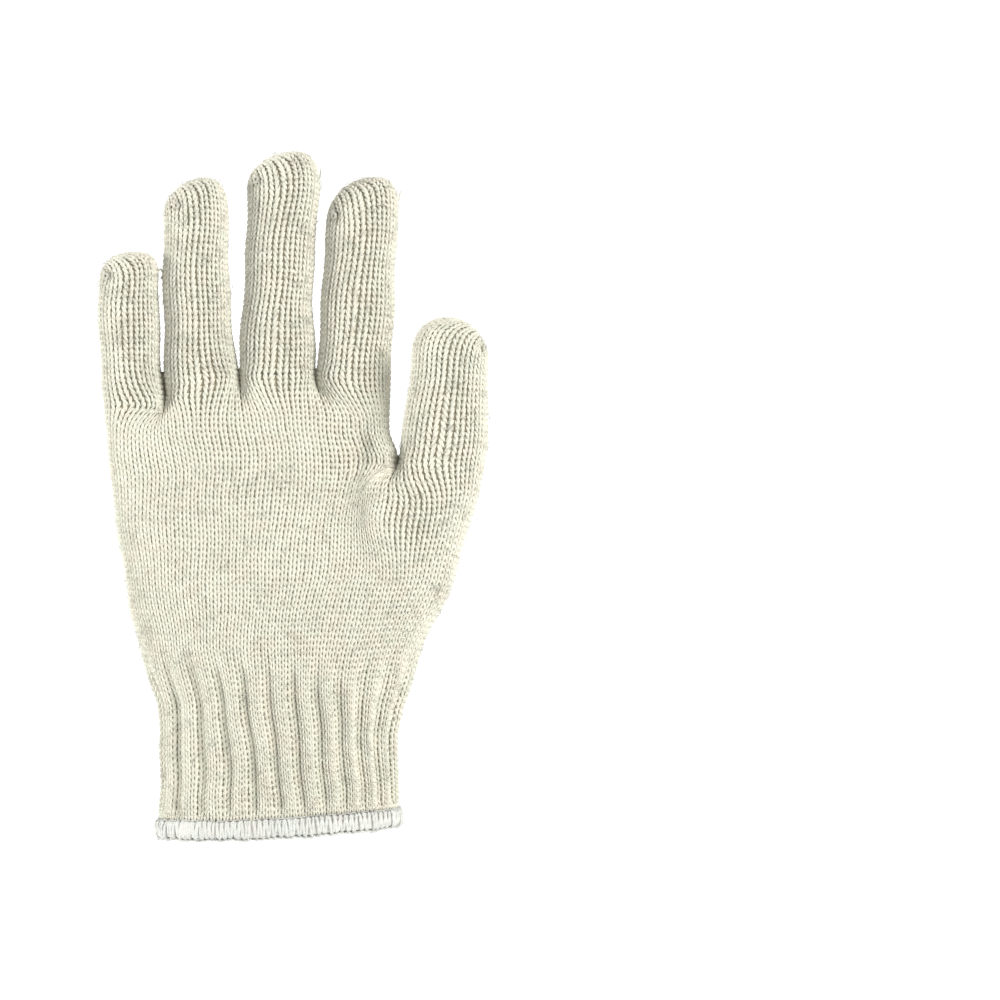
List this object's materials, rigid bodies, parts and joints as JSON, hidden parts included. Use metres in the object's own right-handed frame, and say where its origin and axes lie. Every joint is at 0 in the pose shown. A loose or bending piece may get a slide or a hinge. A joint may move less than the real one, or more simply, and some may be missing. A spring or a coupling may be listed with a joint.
{
  "type": "cotton work glove",
  "caption": "String-knit cotton work glove with a long ribbed cuff and an overlocked hem, held up in the form of the hand it covers.",
  "frame": {"origin": "centre of the cuff's opening, at the hem's lowest edge", "axes": "+Z from the opening to the fingertips, the palm faces -Y, +X to the thumb's side"},
  "size_m": [0.1376, 0.053, 0.2411],
  "materials": {
    "cotton_knit": "ivory cotton string knit, matt and fuzzy",
    "overlock_yarn": "white overlock yarn, matt"
  },
  "bodies": {
    "root": {"little_finger": "cotton_knit", "ring_finger": "cotton_knit", "middle_finger": "cotton_knit", "index_finger": "cotton_knit", "thumb": "cotton_knit", "palm": "cotton_knit", "rib_cuff": "cotton_knit", "overlock_hem": "overlock_yarn"}
  },
  "joints": []
}
